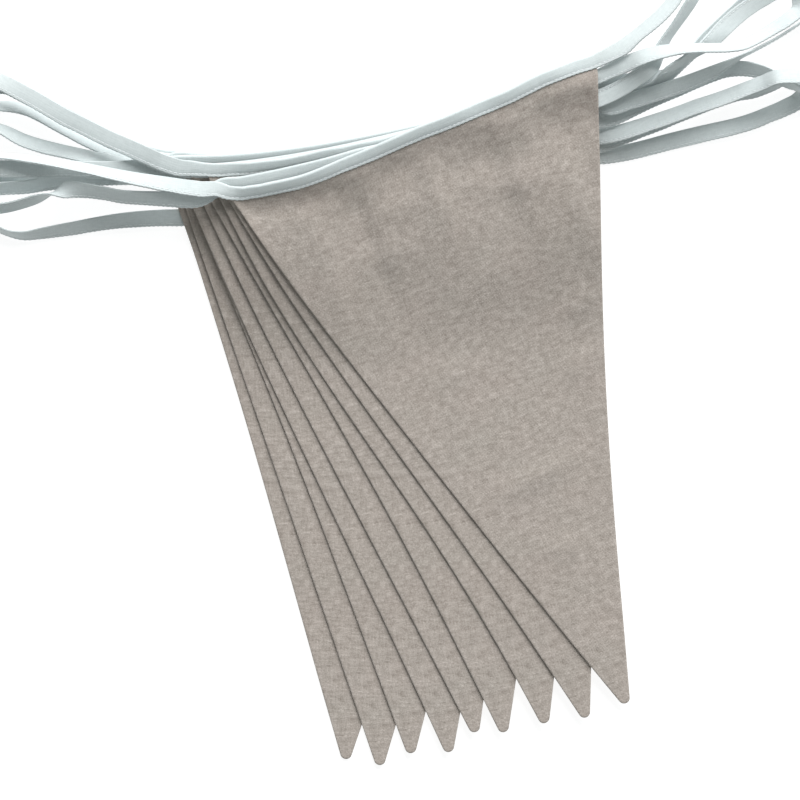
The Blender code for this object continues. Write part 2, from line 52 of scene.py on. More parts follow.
# Tape
TAPE_WIDTH = 9.0
LEAF = 0.4
SLOT_PLAY = 0.4
BOUND_THICKNESS = PENNANT_THICKNESS + 2 * (LEAF + SLOT_PLAY)
LOOSE_THICKNESS = 1.1
TAPE_STEP = 9.0

# Stacking, as the solids are stacked
LAYER_GAP = 0.45
PENNANT_PITCH = PENNANT_THICKNESS + LAYER_GAP
BOUND_PITCH = BOUND_THICKNESS + LAYER_GAP
LOOSE_PITCH = LOOSE_THICKNESS + LAYER_GAP
REST = 22.0
FALL = 90.0
RUN_OUT = 25.0

# Spreading crossing runs of tape apart
SAMPLES_ALONG = 6
SAMPLES_ACROSS = 7
SLACK = 0.5
HELD = 10.0
BEND = 0.8
ROUNDS = 240

# Cloth as it is seen
CLOTH_THICKNESS = 0.9
EDGE_ROUND = 1.1  # the turned edges round off over this width
ROW_STEP = 2.6
COLUMNS = 44
EDGE_STEPS = (0.0, 0.12, 0.35, 0.7, 1.1, 2.0)
STITCH = 2.4
SEAM_INSET = 1.5  # from the tape's open edge
SEAM_DEPTH = 0.28
BOUND_SHORT = 1.6  # how much of the tape's width goes round the thickness of what it holds
TILT = 21.0  # the bound tape's face leans down the pennant, most at the left
TILT_RIGHT = 8.0
TILT_RISE = 0.028  # for each degree of tilt
LEAN_RUN = 15.0
SAG_FAR = 75.0
SAG_START = 8.0
FLAT_FROM = 5  # the pennants from the sixth down are pressed flat
TILT_PRESSED = 0.4
LIP_DROP = 0.42  # the open edge is drawn down on the cloth
EASE_IN = 0.05
RIM_PULL = 0.3
# Each stitch's bow: share of its length, height over the groove, radius of the thread
STITCH_BOW = ((0.02, -0.25, 0.14), (0.2, 0.14, 0.17), (0.5, 0.22, 0.18), (0.8, 0.14, 0.17), (0.98, -0.25, 0.14))
WAVE = 0.5

PUCKER = 0.45
PUCKER_BELOW = 0.2

# How far a pennant's bound edge strays up the photograph: across the pennant, rise, extra tilt
Stray = namedtuple("Stray", "across rise tilt")
STRAYS = {
    0: (
        Stray(-100.0, 3.5, -18.0),
        Stray(-92.0, 2.0, 2.0),
        Stray(-84.0, 1.4, 6.0),
        Stray(-62.0, 0.3, 5.0),
        Stray(-36.0, 1.3, -4.0),
        Stray(0.0, 1.7, -2.0),
        Stray(22.0, 0.7, 2.0),
        Stray(34.0, 0.4, -4.0),
        Stray(50.0, 0.2, 5.0),
        Stray(74.0, 1.6, -1.0),
        Stray(90.0, 1.7, -14.0),
        Stray(100.0, 1.6, -14.0),
    ),
    1: (
        Stray(-100.0, 3.0, -8.0),
        Stray(-88.0, 2.4, -12.0),
        Stray(-70.0, 2.4, -12.0),
        Stray(-34.0, 1.8, -8.0),
        Stray(-6.0, 0.0, 0.0),
        Stray(100.0, 0.0, 0.0),
    ),
    2: (
        Stray(-100.0, 5.0, -16.0),
        Stray(-90.0, 4.1, -10.0),
        Stray(-76.0, 3.2, 0.0),
        Stray(-58.0, 2.4, 4.0),
        Stray(-40.0, 2.4, 0.0),
        Stray(-26.0, 1.3, 0.0),
        Stray(-4.0, 0.0, 0.0),
        Stray(100.0, 0.0, 0.0),
    ),
    8: (
        Stray(-100.0, -5.0, 0.0),
        Stray(-62.0, -4.6, 0.0),
        Stray(-45.0, -3.4, 0.0),
        Stray(-30.0, -0.6, 0.0),
        Stray(0.0, 0.4, 0.0),
        Stray(100.0, 0.0, 0.0),
    ),
}

# Where the cloth sinks in below the tape: across the pennant, how deep, from where and over what length
Dip = namedtuple("Dip", "across depth begin reach")
DIPS = (
    Dip(-100.0, 0.8, 0.0, 14.0),
    Dip(-88.0, 2.2, 0.0, 14.0),
    Dip(-76.0, 3.2, 0.0, 18.0),
    Dip(-66.0, 3.8, 0.0, 16.0),
    Dip(-57.0, 5.8, 0.0, 19.0),
    Dip(-48.0, 7.0, 0.0, 19.0),
    Dip(-41.0, 7.2, 1.0, 21.0),
    Dip(-33.0, 5.0, 2.5, 18.0),
    Dip(-22.0, 4.6, 0.5, 16.0),
    Dip(-11.0, 4.2, 0.5, 13.0),
    Dip(0.0, 2.8, 2.0, 18.0),
    Dip(11.0, 4.6, 1.0, 19.0),
    Dip(22.0, 5.4, 0.5, 22.0),
    Dip(33.0, 6.0, 0.5, 24.0),
    Dip(44.0, 4.2, 5.0, 20.0),
    Dip(55.0, 4.2, 6.0, 20.0),
    Dip(66.0, 5.0, 3.0, 15.0),
    Dip(78.0, 5.6, 4.0, 22.0),
    Dip(88.0, 4.8, 4.0, 18.0),
    Dip(96.0, 3.2, 6.0, 20.0),
    Dip(100.0, 2.8, 6.0, 20.0),
)

# Soft ridges in the first pennant, each listed: middle, turn in degrees, half length, half width
Crease = namedtuple("Crease", "across along turn length width height")
CREASES = (
    Crease(40.0, 37.0, 12.0, 16.0, 7.0, 1.3),
    Crease(22.0, 27.0, -20.0, 12.0, 6.0, 0.7),
    Crease(-36.0, 47.0, -8.0, 14.0, 8.0, 1.2),
    Crease(-20.0, 26.0, 6.0, 13.0, 6.0, 0.7),
    Crease(1.0, 184.0, -6.0, 24.0, 6.0, 1.2),
    Crease(53.0, 108.0, -14.0, 11.0, 6.0, 1.0),
    Crease(44.0, 137.0, -22.0, 12.0, 6.0, 0.9),
    Crease(-22.0, 117.0, 8.0, 14.0, 8.0, 0.7),
    Crease(14.0, 76.0, -12.0, 18.0, 9.0, 0.6),
    Crease(-2.0, 222.0, 10.0, 12.0, 6.0, 0.7),
)

# Colours, dark to light along each texture's value
LINEN_STOPS = (
    (0.35, (0.24, 0.205, 0.18)),
    (0.5, (0.383, 0.336, 0.304)),
    (0.65, (0.556, 0.498, 0.462)),
)
COTTON_STOPS = (
    (0.3, (0.56, 0.61, 0.61)),
    (0.7, (0.68, 0.73, 0.73)),
)

# Light
KEY = 1.36
KEY_SPREAD = 48.0
KEY_FROM = (0.2, 0.8, 0.55)
FILL = 0.36
FLOOR_GLOW = 0.85

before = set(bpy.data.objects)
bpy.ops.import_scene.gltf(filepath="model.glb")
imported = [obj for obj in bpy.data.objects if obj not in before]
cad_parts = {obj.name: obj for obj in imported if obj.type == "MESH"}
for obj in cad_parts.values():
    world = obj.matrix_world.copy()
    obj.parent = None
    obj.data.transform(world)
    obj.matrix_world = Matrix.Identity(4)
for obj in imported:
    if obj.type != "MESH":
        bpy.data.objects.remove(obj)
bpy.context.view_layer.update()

# Each pennant from the top of the pile down: where its tip is, how far it leans to the right in degrees,
# how its centre line bows and sways sideways, how far its sides draw in, and how its top edge sags and skews
Pennant = namedtuple("Pennant", "tip_x tip_y lean bow sway pinch sag skew")
PENNANTS = (
    Pennant(117.1, -157.0, 20.4, -3.3, 0.0, 1.2, 3.4, 5.5),
    Pennant(96.3, -164.4, 16.9, -1.0, -1.2, 0.3, 3.6, 4.5),
    Pennant(75.1, -167.3, 14.1, 0.6, -2.6, 0.0, 4.2, 4.5),
    Pennant(53.9, -172.0, 11.0, 2.9, -0.6, 0.5, 3.6, 4.0),
    Pennant(38.9, -172.0, 9.2, -2.0, -0.4, 0.0, 4.4, 4.0),
    Pennant(25.4, -182.3, 7.2, -1.3, -0.6, 0.0, 3.0, 3.0),
    Pennant(5.7, -182.9, 3.9, 1.8, 0.2, 0.6, 3.4, 3.0),
    Pennant(-10.4, -189.1, 1.3, 0.2, 0.0, 0.0, 2.4, 2.0),
    Pennant(-28.0, -186.0, -1.1, 0.9, 0.3, 0.9, 1.6, 1.0),
)

# The loose stretches of tape. Each row is a point of the tape's centre line, in the order that the tape
# runs, with its rise above its own layer and its roll about the line of travel: 0 or a multiple of 180
# lies flat, and 90 stands on edge
Row = namedtuple("Row", "x y rise roll")
LEFT_1_2 = (
    Row(-96.0, 107.4, 0, 164),
    Row(-112.9, 110.1, 0.5, 156),
    Row(-138.3, 114.5, 1, 138),
    Row(-155.4, 118.1, 1.5, 130),
    Row(-173.0, 121.7, 2, 124),
    Row(-190.1, 124.3, 2, 115),
    Row(-207.2, 126.1, 2, 108),
    Row(-221.2, 125.4, 2, 116),
    Row(-233.1, 121.2, 2, 130),
    Row(-238.3, 112.9, 2, 142),
    Row(-233.1, 104.1, 2, 140),
    Row(-220.7, 99.5, 2, 132),
    Row(-207.2, 99.2, 2, 126),
    Row(-194.2, 102.0, 2, 122),
    Row(-182.3, 106.2, 2, 106),
    Row(-174.0, 108.5, 2, 20),
    Row(-165.8, 108.5, 1.5, -22),
    Row(-156.4, 107.5, 1.5, -38),
    Row(-146.1, 105.4, 1, -40),
    Row(-134.2, 104.4, 0.5, -38),
    Row(-119.1, 103.8, 0.5, -28),
    Row(-106.4, 103.2, 0, -18),
    Row(-98.6, 103.8, 0, -8),
)
RIGHT_2_3 = (
    Row(109.6, 170.0, 0.5, 10),
    Row(117.9, 174.0, 1, 20),
    Row(126.9, 177.6, 1.5, 29),
    Row(138.8, 180.5, 2, 44),
    Row(152.8, 181.8, 2.5, 56),
    Row(166.8, 182.1, 3, 56),
    Row(178.7, 184.1, 3, 50),
    Row(187.5, 188.8, 3.5, 47),
    Row(196.8, 194.5, 3.5, 42),
    Row(205.6, 201.0, 3.5, 36),
    Row(207.4, 207.0, 4, 32),
    Row(204.6, 211.8, 4, 28),
    Row(197.8, 212.6, 4, 24),
    Row(187.5, 207.7, 3.5, 20),
    Row(177.2, 201.0, 3, 16),
    Row(168.3, 193.2, 2.5, 4),
    Row(161.1, 186.0, 2, 26),
    Row(154.4, 181.0, 1.5, 56),
    Row(146.6, 175.6, 1.5, 64),
    Row(138.3, 170.9, 1, 76),
    Row(128.5, 166.3, 0.5, 140),
    Row(115.0, 164.2, 0, 176),
)
LEFT_3_4 = (
    Row(-112.4, 119.1, 0.5, 184),
    Row(-124.3, 123.3, 0.5, 186),
    Row(-137.3, 129.2, 1, 186),
    Row(-151.3, 135.2, 1.5, 185),
    Row(-163.2, 141.2, 1.5, 184),
    Row(-175.1, 147.1, 2, 183),
    Row(-187.5, 154.4, 2, 180),
    Row(-198.9, 160.6, 2, 174),
    Row(-210.3, 166.3, 2, 158),
    Row(-221.2, 170.4, 2.5, 128),
    Row(-230.0, 170.9, 2.5, 96),
    Row(-233.6, 165.8, 2, 66),
    Row(-229.0, 161.1, 2, 36),
    Row(-217.6, 161.6, 1.5, 20),
    Row(-205.1, 162.6, 1, 10),
    Row(-192.7, 157.2, 1, 6),
    Row(-178.7, 149.6, 1, 6),
    Row(-164.7, 142.4, 1, 6),
    Row(-151.3, 135.2, 0.5, 6),
    Row(-137.3, 129.0, 0.5, 4),
    Row(-124.3, 122.5, 0, 2),
)
RIGHT_4_5 = (
    Row(98.4, 155.4, 0, -2),
    Row(105.2, 151.3, 0, -5),
    Row(116.5, 153.8, 0, -11),
    Row(129.5, 157.7, 0.5, -16),
    Row(142.5, 161.9, 0.5, -22),
    Row(153.8, 166.0, 0.5, -30),
    Row(163.2, 170.4, 1, -46),
    Row(173.5, 176.1, 1.5, -76),
    Row(184.4, 181.6, 2, -84),
    Row(195.8, 187.8, 2, -86),
    Row(207.2, 195.3, 2, -88),
    Row(217.0, 204.1, 2, -90),
    Row(219.6, 212.4, 2, -94),
    Row(213.4, 219.6, 2, -102),
    Row(201.0, 220.2, 2, -116),
    Row(188.6, 213.4, 2, -134),
    Row(178.2, 205.1, 1.5, -146),
    Row(168.3, 195.8, 1.5, -152),
    Row(158.5, 186.5, 1, -150),
    Row(149.2, 177.4, 1, -124),
    Row(142.0, 169.4, 0.5, -118),
    Row(132.1, 164.2, 0, -140),
    Row(118.1, 159.5, 0, -168),
    Row(106.7, 156.4, 0, -178),
)
LEFT_5_6 = (
    Row(-121.7, 121.7, 0, 182),
    Row(-138.3, 119.7, 0, 184),
    Row(-155.4, 118.9, 0.5, 184),
    Row(-173.0, 119.4, 1, 180),
    Row(-190.1, 119.1, 1, 180),
    Row(-207.2, 119.7, 1.5, 190),
    Row(-219.6, 120.2, 1.5, 236),
    Row(-229.0, 117.6, 1.5, 264),
    Row(-231.0, 112.4, 1.5, 286),
    Row(-224.3, 108.3, 1.5, 306),
    Row(-214.5, 108.8, 1, 314),
    Row(-204.1, 109.6, 1, 318),
    Row(-193.7, 110.3, 1, 322),
    Row(-183.4, 111.9, 1, 326),
    Row(-172.0, 113.7, 0.5, 334),
    Row(-158.0, 115.0, 0.5, 342),
    Row(-142.5, 115.5, 0, 350),
    Row(-126.9, 116.3, 0, 356),
)
RIGHT_6_7 = (
    Row(95.3, 144.6, 0, -2),
    Row(105.7, 144.8, 0, -4),
    Row(118.1, 149.9, 0, -6),
    Row(130.5, 155.9, 0, -8),
    Row(144.0, 161.4, 0, -14),
    Row(157.5, 167.1, 0.5, -22),
    Row(169.9, 171.2, 0.5, -26),
    Row(180.3, 171.2, 1, -30),
    Row(189.6, 168.9, 1, -40),
    Row(198.9, 164.7, 1, -58),
    Row(209.3, 159.5, 1.5, -80),
    Row(219.6, 157.5, 1.5, -104),
    Row(227.4, 161.1, 2, -134),
    Row(226.9, 166.8, 2.5, -164),
    Row(218.6, 168.6, 2.5, -190),
    Row(207.2, 167.3, 2.5, -206),
    Row(198.9, 167.8, 2.5, -210),
    Row(189.6, 164.7, 2.5, -211),
    Row(178.7, 160.6, 2.5, -211),
    Row(165.8, 155.7, 2, -210),
    Row(154.4, 152.0, 2, -209),
    Row(142.5, 147.6, 2, -208),
    Row(129.5, 143.2, 1.5, -204),
    Row(117.1, 139.3, 1, -198),
    Row(105.2, 136.5, 0, -188),
    Row(94.8, 137.0, 0, -182),
)
LEFT_7_8 = (
    Row(-121.7, 121.2, 0, 178),
    Row(-130.0, 118.4, 0, 168),
    Row(-142.5, 121.5, 0.5, 150),
    Row(-155.4, 124.6, 0.5, 140),
    Row(-169.9, 127.7, 1, 140),
    Row(-185.4, 131.3, 1, 142),
    Row(-197.9, 135.7, 1, 138),
    Row(-206.7, 140.9, 1.5, 124),
    Row(-213.9, 145.6, 1.5, 96),
    Row(-213.4, 150.5, 1.5, 72),
    Row(-207.2, 152.0, 1.5, 56),
    Row(-198.4, 151.5, 1, 50),
    Row(-189.6, 148.7, 1, 48),
    Row(-178.7, 143.0, 0.5, 46),
    Row(-166.8, 136.8, 0.5, 42),
    Row(-153.3, 130.8, 0, 32),
    Row(-139.9, 126.9, 0, 18),
    Row(-126.9, 124.3, 0, 8),
)
RIGHT_8_9 = (
    Row(94.8, 129.8, 0, -4),
    Row(106.7, 133.4, 0, -6),
    Row(124.3, 140.0, 0, -12),
    Row(140.9, 146.4, 0.5, -22),
    Row(157.5, 152.6, 1, -36),
    Row(172.5, 157.6, 1, -42),
    Row(186.5, 159.8, 1, -56),
    Row(198.4, 163.9, 1.5, -76),
    Row(207.2, 164.5, 1.5, -104),
    Row(209.8, 159.5, 1.5, -132),
    Row(203.6, 153.6, 1, -176),
    Row(191.7, 148.1, 1, -196),
    Row(178.2, 143.0, 1, -196),
    Row(165.8, 139.9, 1, -190),
    Row(152.3, 136.8, 0.5, -180),
    Row(138.3, 133.4, 0.5, -172),
    Row(122.2, 129.2, 0.5, -168),
    Row(105.7, 126.4, 0, -170),
    Row(93.2, 126.4, 0, -178),
)
LEFT_TIE = (
    Row(-132.1, 129.5, 0, 181),
    Row(-145.0, 124.8, 0, 184),
    Row(-159.5, 120.2, 0, 188),
    Row(-176.1, 116.5, 0, 192),
    Row(-192.7, 114.5, 0.5, 198),
    Row(-207.2, 113.4, 0.5, 208),
    Row(-220.7, 111.4, 1, 228),
    Row(-231.0, 105.7, 1, 256),
    Row(-232.1, 97.4, 1.5, 276),
    Row(-223.8, 92.2, 1.5, 286),
    Row(-213.4, 90.7, 1.5, 288),
    Row(-205.1, 87.3, 1.5, 286),
    Row(-199.9, 85.2, 1.5, 292),
    Row(-193.2, 85.2, 1.5, 300),
    Row(-182.3, 86.8, 1, 312),
    Row(-170.9, 88.6, 1, 318),
    Row(-159.0, 90.7, 0.5, 324),
    Row(-146.1, 92.7, 0.5, 330),
    Row(-130.0, 94.0, 0, 344),
    Row(-111.9, 94.5, 0, 360),
    Row(-99.5, 94.8, 0, 360),
    Row(-88.1, 95.1, 0, 360),
)
RIGHT_TIE = (
    Row(98.4, 154.4, 0, 180),
    Row(109.6, 158.8, 0, 178),
    Row(120.9, 165.6, 0, 174),
    Row(130.5, 173.0, 0.5, 158),
    Row(135.2, 182.9, 1, 130),
    Row(140.4, 190.6, 2, 118),
    Row(145.0, 197.4, 2, 124),
    Row(151.3, 207.2, 3, 130),
    Row(154.4, 215.0, 3.5, 134),
    Row(153.8, 221.2, 4, 138),
    Row(149.2, 221.7, 4, 142),
    Row(145.0, 213.4, 4, 142),
    Row(139.9, 204.1, 4, 142),
    Row(131.6, 195.8, 3.5, 141),
    Row(122.2, 188.0, 2.5, 141),
    Row(112.9, 180.3, 1.5, 164),
)

# The loops in the order that the tape runs, each with the roll at which it reaches the next pennant and
# whether it crosses over itself on its way back
Loop = namedtuple("Loop", "rows end_roll crosses_over")
LOOPS = (
    Loop(LEFT_1_2, 0, False),
    Loop(RIGHT_2_3, 180, False),
    Loop(LEFT_3_4, 0, False),
    Loop(RIGHT_4_5, -180, False),
    Loop(LEFT_5_6, 360, False),
    Loop(RIGHT_6_7, -180, True),
    Loop(LEFT_7_8, 0, False),
    Loop(RIGHT_8_9, -180, False),
)

LAYERS = ("left tail", 8, 7, 6, 5, 4, 3, 2, "right tail", 1, 0)
TAILS = {"left tail": LEFT_TIE[-1:-5:-3], "right tail": RIGHT_TIE[0:2]}


def ease(share):
    share = np.clip(share, 0.0, 1.0)
    return share * share * (3 - 2 * share)


def pennant_frame(pennant):
    """The tip, the direction down the pennant and the direction to its right."""
    lean = math.radians(pennant.lean)
    return (
        np.array((pennant.tip_x, pennant.tip_y)),
        np.array((math.sin(lean), -math.cos(lean))),
        np.array((math.cos(lean), math.sin(lean))),
    )


def top_drop(pennant, across, along):
    """How far the cloth hangs below a straight top edge."""
    side = np.clip(2 * across / PENNANT_WIDTH, -1.0, 1.0)
    share = np.clip(along / PENNANT_LENGTH, 0.0, 1.0)
    return (pennant.sag - pennant.skew * side) * (1 - side**2) * (1 - share) ** 2


def on_pennant(pennant, across, along):
    """Where points of the cloth lie: `across` from its centre line, `along` from the tape to the tip."""
    tip, down, right = pennant_frame(pennant)
    share = np.clip(along / PENNANT_LENGTH, 0.0, 1.0)
    side = np.clip(2 * across / PENNANT_WIDTH, -1.0, 1.0)
    shift = pennant.bow * np.sin(math.pi * share) + pennant.sway * np.sin(2 * math.pi * share)
    inward = pennant.pinch * side * np.sin(math.pi * share) ** 2 / np.maximum(1 - share, 0.2)
    over = across + shift - inward
    below = along + top_drop(pennant, across, along) - PENNANT_LENGTH
    return tip[0] + right[0] * over + down[0] * below, tip[1] + right[1] * over + down[1] * below


def fall_off(distance):
    """1 until REST past a layer's edge, then easing to 0 over FALL."""
    return 1 - ease((distance - REST) / FALL)


def pennant_support(pennant, x, y):
    """How much height a pennant and its bound edge take up at points."""
    tip, down, right = pennant_frame(pennant)
    along = PENNANT_LENGTH + (x - tip[0]) * down[0] + (y - tip[1]) * down[1]
    across = abs((x - tip[0]) * right[0] + (y - tip[1]) * right[1])
    half = PENNANT_WIDTH / 2
    slant = math.atan2(half, PENNANT_LENGTH)
    past_side = (across - half * (1 - along / PENNANT_LENGTH)) * math.cos(slant)
    from_cloth = np.maximum(-along - TAPE_WIDTH, past_side)
    from_tape = np.maximum(abs(along + TAPE_WIDTH / 2) - TAPE_WIDTH / 2, across - half - RUN_OUT)
    return PENNANT_PITCH * fall_off(from_cloth) + (BOUND_PITCH - PENNANT_PITCH) * fall_off(from_tape)


def tail_support(tail, x, y):
    """How much height the tucked-under end of a tie takes up at points."""
    run = np.array((tail[1].x - tail[0].x, tail[1].y - tail[0].y))
    share = np.clip(((x - tail[0].x) * run[0] + (y - tail[0].y) * run[1]) / (run @ run), 0.0, 1.0)
    away = np.hypot(x - tail[0].x - run[0] * share, y - tail[0].y - run[1] * share)
    return LOOSE_PITCH * fall_off(away - TAPE_WIDTH / 2)


def support(layer, x, y):
    if layer in TAILS:
        return tail_support(TAILS[layer], x, y)
    return pennant_support(PENNANTS[layer], x, y)


def layer_height(layer, x, y):
    """The middle height of a layer: all the layers below it hold it up."""
    below = LAYERS[: LAYERS.index(layer)]
    return sum(support(other, x, y) for other in below) + (support(layer, x, y) - LAYER_GAP) / 2


# The tape's cross-sections, a column for each: layer, place, roll, how far the slot is open, how closely
# it follows its layer's slope, its place in the order of the pile, and whether its height is settled
FIELDS = ("layer", "x", "y", "z", "roll", "opening", "follow", "order", "held")


def bound_stations(number):
    """The tape along a pennant's top edge. It runs left along the first pennant, right along the next."""
    steps = round(PENNANT_WIDTH / TAPE_STEP)
    heading = 1 if number % 2 else -1
    across = heading * PENNANT_WIDTH * (np.arange(steps + 1) / steps - 0.5)
    x, y = on_pennant(PENNANTS[number], across, -TAPE_WIDTH / 2)
    z = layer_height(number, x, y)
    roll = 0 if number % 2 else 180
    return [(number, *place, roll, 1.0, 1.0, LAYERS.index(number), True) for place in zip(x, y, z)]


def spline(knots, times, time):
    """A curve through the knots (Catmull-Rom with uneven spacing), at one time."""
    last = len(knots) - 1
    k = min(int(np.searchsorted(times[1:], time)), last - 1)

    def slope(n):
        low, high = max(n - 1, 0), min(n + 1, last)
        return (knots[high] - knots[low]) / (times[high] - times[low])

    gap = times[k + 1] - times[k]
    s = (time - times[k]) / gap
    return (
        knots[k] * (2 * s**3 - 3 * s**2 + 1)
        + slope(k) * gap * (s**3 - 2 * s**2 + s)
        + knots[k + 1] * (3 * s**2 - 2 * s**3)
        + slope(k + 1) * gap * (s**3 - s**2)
    )


def loose_stations(rows, start, end, end_roll, tail=None, crosses_over=False):
    """The tape between two bound stations, or from or to a cut end, which lies in the tail's layer."""
    knots = [np.array(row, float) for row in rows]
    if start:
        knots.insert(0, np.array((start[1], start[2], 0.0, start[4])))
    if end:
        knots.append(np.array((end[1], end[2], 0.0, end_roll)))
    gaps = [np.hypot(*(after - before)[:2]) for before, after in zip(knots, knots[1:])]
    times = np.concatenate([[0.0], np.cumsum(gaps)])
    length = times[-1]
    steps = round(length / TAPE_STEP)
    layers = start[0] if start else tail, end[0] if end else tail
    stations = []
    for step in range(1 if start else 0, steps if end else steps + 1):
        time = length * step / steps
        x, y, rise, roll = spline(knots, times, time)
        turn = ease(3 * time / length - 1)
        heights = [layer_height(layer, x, y) for layer in layers]
        z = rise + heights[0] * (1 - turn) + heights[1] * turn
        near = min(time if start else length, length - time if end else length)
        half = round(time / length)
        order = LAYERS.index(layers[half])
        if crosses_over and 0.5 < time / length < 0.7:
            order = LAYERS.index(layers[0]) + 0.5
        opening, follow = 1 - ease(near / (2 * TAPE_STEP)), 1 - ease(near / RUN_OUT)
        held = min(time, length - time) < HELD
        stations.append((layers[half], x, y, z, roll, opening, follow, order, held))
    return stations


def tape_stations():
    """The whole tape, from the end of the right tie to the end of the left one, as one array for each field."""
    bound = [bound_stations(number) for number in range(len(PENNANTS))]
    stations = loose_stations(RIGHT_TIE, None, bound[0][0], 180, "right tail")
    for number, loop in enumerate(LOOPS):
        stations += bound[number]
        start, end = bound[number][-1], bound[number + 1][0]
        stations += loose_stations(loop.rows, start, end, loop.end_roll, None, loop.crosses_over)
    stations += bound[-1]
    stations += loose_stations(LEFT_TIE, bound[-1][-1], None, 0, "left tail")
    columns = list(zip(*stations))
    tape = {field: np.array(column) for field, column in zip(FIELDS, columns) if field != "layer"}
    tape["layer"] = list(columns[0])
    return tape


def offsets_to_points(tape, offsets):
    """Points of the tape at every station, from offsets towards its open edge and its front. The offsets
    are either one list for all the stations or a list for each."""
    centre = np.stack([tape["x"], tape["y"], tape["z"]], axis=1)
    travel = np.gradient(centre, axis=0)
    travel /= np.linalg.norm(travel, axis=1)[:, None]
    left = np.cross((0.0, 0.0, 1.0), travel)
    left /= np.linalg.norm(left, axis=1)[:, None]
    up = np.cross(travel, left)
    sine, cosine = np.sin(np.radians(tape["roll"]))[:, None], np.cos(np.radians(tape["roll"]))[:, None]
    open_way, front = up * sine - left * cosine, up * cosine + left * sine
    offsets = np.broadcast_to(offsets, (len(centre), *np.shape(offsets)[-2:]))
    points = centre[:, None] + open_way[:, None] * offsets[..., :1] + front[:, None] * offsets[..., 1:]
    for layer in LAYERS:
        rows = [number for number, own in enumerate(tape["layer"]) if own == layer]
        level = layer_height(layer, centre[rows, 0], centre[rows, 1])
        slope = layer_height(layer, points[rows, :, 0], points[rows, :, 1]) - level[:, None]
        points[rows, :, 2] += tape["follow"][rows, None] * slope
    return points


def thickness(tape):
    return LOOSE_THICKNESS + (BOUND_THICKNESS - LOOSE_THICKNESS) * tape["opening"]


def spread_apart(tape):
    """Lifts the upper of two runs of tape wherever they would touch, in a smooth rise."""
    sides = [(TAPE_WIDTH * (side / (SAMPLES_ACROSS - 1) - 0.5), 0.0) for side in range(SAMPLES_ACROSS)]
    rows = offsets_to_points(tape, sides)
    shares = np.arange(SAMPLES_ALONG) / SAMPLES_ALONG
    points = rows[:-1, None] * (1 - shares[:, None, None]) + rows[1:, None] * shares[:, None, None]
    points = points.reshape(-1, 3)
    per_station = SAMPLES_ALONG * SAMPLES_ACROSS
    owners = np.repeat(np.arange(len(rows) - 1), per_station)
    shares = np.tile(np.repeat(shares, SAMPLES_ACROSS), len(rows) - 1)
    thick, order, held = thickness(tape), tape["order"], tape["held"]
    plan = KDTree(len(points))
    for number, (x, y, _) in enumerate(points):
        plan.insert((x, y, 0.0), number)
    plan.balance()
    pairs, parts = [], []
    for number, (x, y, _) in enumerate(points):
        here = owners[number]
        if held[here]:
            continue
        for _, other, distance in plan.find_range((x, y, 0.0), BOUND_PITCH + SLACK):
            there = owners[other]
            part = (thick[here] + thick[there]) / 2 + LAYER_GAP + SLACK
            above = (order[here], -here) > (order[there], -there)
            if above and abs(here - there) > 3 and distance < part:
                pairs.append((number, other))
                parts.append(math.sqrt(part**2 - distance**2))
    upper, lower = np.array(pairs).T
    parts = np.array(parts)
    lift = np.zeros(len(rows))
    for _ in range(ROUNDS):
        now = points[:, 2] + lift[owners] * (1 - shares) + lift[owners + 1] * shares
        short = np.maximum(parts - (now[upper] - now[lower]), 0.0)
        push = np.zeros(len(rows))
        np.maximum.at(push, owners, LOOSE_THICKNESS / 2 - now)
        np.maximum.at(push, owners[upper], short)
        np.maximum.at(push, owners[upper] + 1, short * (shares[upper] > 0.5))
        lift = np.where(held, 0.0, lift + push / 2)
        between = (lift[:-2] + lift[2:]) / 2 - BEND
        lift[1:-1] = np.where(held[1:-1], 0.0, np.maximum(lift[1:-1], between))
    tape["z"] = tape["z"] + lift


def refined(tape, step):
    """The same tape with its stations `step` apart, on smooth curves through the old ones."""
    centre = np.stack([tape["x"], tape["y"], tape["z"]], axis=1)
    lengths = np.linalg.norm(np.diff(centre, axis=0), axis=1)
    times = np.concatenate([[0.0], np.cumsum(lengths)])
    count = 2 * round(times[-1] / step / 2)
    at = np.linspace(0.0, times[-1], count + 1)
    before = np.clip(np.searchsorted(times, at, side="right") - 1, 0, len(times) - 2)
    gap = times[before + 1] - times[before]
    s = (at - times[before]) / gap
    finer = {"length": times[-1]}
    for field in ("x", "y", "z", "roll", "opening", "follow"):
        value = tape[field].astype(float)
        if field == "roll":
            value = np.unwrap(value, period=360.0)
        slope = np.gradient(value, times)
        finer[field] = (
            value[before] * (2 * s**3 - 3 * s**2 + 1)
            + slope[before] * gap * (s**3 - 2 * s**2 + s)
            + value[before + 1] * (3 * s**2 - 2 * s**3)
            + slope[before + 1] * gap * (s**3 - s**2)
        )
    for field in ("opening", "follow"):
        finer[field] = np.clip(finer[field], 0.0, 1.0)
    finer["layer"] = [tape["layer"][number] for number in before + (s > 0.5)]
    finer["at"] = at
    return finer


def wave(x, y):
    """The slow unevenness that every layer of the pile shares."""
    slow = np.sin(x / 11.0 + 1.3 * np.sin(y / 17.0)) * np.sin(y / 13.0 + 0.9 * np.sin(x / 19.0))
    broad = np.sin(x / 27.0 + y / 41.0) * np.sin(y / 33.0 - x / 47.0 + 1.0)
    return WAVE * (2 + slow + broad) / 4


def wander(place, spacing, seed):
    """A smooth random course between -1 and 1 along a length."""
    marks = np.random.default_rng(seed).uniform(-1, 1, int(np.max(place) / spacing) + 3)
    before = (place / spacing).astype(int)
    part = ease(place / spacing - before)
    return marks[before] * (1 - part) + marks[before + 1] * part


